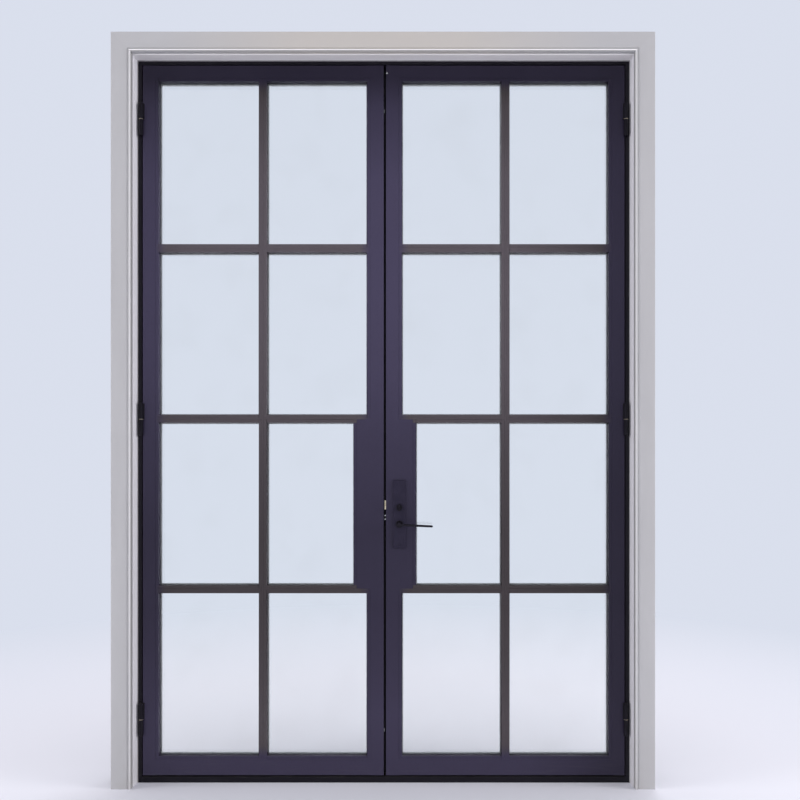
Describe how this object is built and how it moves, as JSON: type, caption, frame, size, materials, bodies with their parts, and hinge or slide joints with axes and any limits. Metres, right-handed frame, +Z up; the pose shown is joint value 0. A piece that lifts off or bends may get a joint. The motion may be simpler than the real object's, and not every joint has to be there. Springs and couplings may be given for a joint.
{
  "type": "french doors",
  "caption": "Pair of in-swinging steel french doors with divided lights, in a rebated steel frame with threshold, hinges, mortise lock, flush bolts, white liner and casing.",
  "frame": {"origin": "under the threshold, halfway between the jambs and halfway through the steel frame", "axes": "+Z up from the floor, +Y towards the outside, +X to the right seen from the room"},
  "size_m": [2.022, 0.191, 2.813],
  "materials": {
    "black_steel": "satin black enamel",
    "black_hardware": "satin black powder coat",
    "white_woodwork": "eggshell white paint",
    "clear_glass": "polished",
    "spacer_metal": "matt",
    "seal_rubber": "matt",
    "bare_steel": "brushed",
    "brass": "brushed"
  },
  "bodies": {
    "frame": {"left_jamb": "black_steel", "right_jamb": "black_steel", "frame_head": "black_steel", "threshold": "black_steel", "frame_seal": "seal_rubber", "left_liner": "white_woodwork", "right_liner": "white_woodwork", "head_liner": "white_woodwork", "left_casing": "white_woodwork", "right_casing": "white_woodwork", "head_casing": "white_woodwork", "left_frame_knuckles": "black_steel", "right_frame_knuckles": "black_steel", "hinge_pins": "bare_steel", "hinge_washers": "brass"},
    "left_leaf": {"left_hinge_stile": "black_steel", "left_meeting_stile": "black_steel", "left_top_rail": "black_steel", "left_bottom_rail": "black_steel", "left_lock_panel": "black_steel", "left_upright_bar": "black_steel", "left_cross_bars": "black_steel", "left_glass": "clear_glass", "left_glass_spacers": "spacer_metal", "left_glazing_beads": "black_steel", "left_glazing_gaskets": "seal_rubber", "left_leaf_knuckles": "black_steel", "left_sweep": "seal_rubber", "meeting_seal": "seal_rubber", "strike_plate": "bare_steel", "flush_bolt_plates": "bare_steel"},
    "top_bolt": {"top_flush_bolt": "bare_steel"},
    "bottom_bolt": {"bottom_flush_bolt": "bare_steel"},
    "right_leaf": {"right_hinge_stile": "black_steel", "right_meeting_stile": "black_steel", "right_top_rail": "black_steel", "right_bottom_rail": "black_steel", "right_lock_panel": "black_steel", "right_upright_bar": "black_steel", "right_cross_bars": "black_steel", "right_glass": "clear_glass", "right_glass_spacers": "spacer_metal", "right_glazing_beads": "black_steel", "right_glazing_gaskets": "seal_rubber", "right_leaf_knuckles": "black_steel", "right_sweep": "seal_rubber", "lock_case": "bare_steel", "lock_faceplate": "bare_steel", "inner_lock_plate": "black_hardware", "outer_lock_plate": "black_hardware", "key_cylinder": "bare_steel"},
    "lever": {"lever_spindle": "bare_steel", "lock_hub": "bare_steel", "inner_lever": "black_hardware", "outer_knob": "black_hardware"},
    "latch": {"latch_bolt": "bare_steel"},
    "bolt": {"dead_bolt": "brass"},
    "turn": {"thumb_turn": "black_hardware", "turn_cam": "bare_steel", "key_plug": "bare_steel"}
  },
  "joints": [
    {"name": "left_leaf_swing", "type": "hinge", "parent": "frame", "child": "left_leaf", "pos_m": [-0.916, -0.0685, 0], "axis": [0, 0, -1], "range_deg": [0, 105]},
    {"name": "right_leaf_swing", "type": "hinge", "parent": "frame", "child": "right_leaf", "pos_m": [0.916, -0.0685, 0], "axis": [0, 0, 1], "range_deg": [0, 105]},
    {"name": "lever_turn", "type": "hinge", "parent": "right_leaf", "child": "lever", "pos_m": [0.05965, -0.035, 0.98], "axis": [0, 1, 0], "range_deg": [0, 35], "stiffness_Nm_per_rad": 1, "springref_deg": -28.65},
    {"name": "latch_slide", "type": "slide", "parent": "right_leaf", "child": "latch", "axis": [1, 0, 0], "range_m": [0, 0.006]},
    {"name": "thumb_turn_turn", "type": "hinge", "parent": "right_leaf", "child": "turn", "pos_m": [0.05965, -0.035, 1.043], "axis": [0, 1, 0], "range_deg": [-21.6, 68.4]},
    {"name": "dead_bolt_slide", "type": "slide", "parent": "right_leaf", "child": "bolt", "axis": [-1, 0, 0], "range_m": [-0.006, 0.019]},
    {"name": "top_bolt_slide", "type": "slide", "parent": "left_leaf", "child": "top_bolt", "axis": [0, 0, 1], "range_m": [0, 0.02]},
    {"name": "bottom_bolt_slide", "type": "slide", "parent": "left_leaf", "child": "bottom_bolt", "axis": [0, 0, -1], "range_m": [0, 0.02]}
  ],
  "couplings": [
    {"joint": "latch_slide", "follows": "lever_turn", "m_per_rad": 0.0098},
    {"joint": "thumb_turn_turn", "follows": "dead_bolt_slide", "rad_per_m": 62.83}
  ]
}
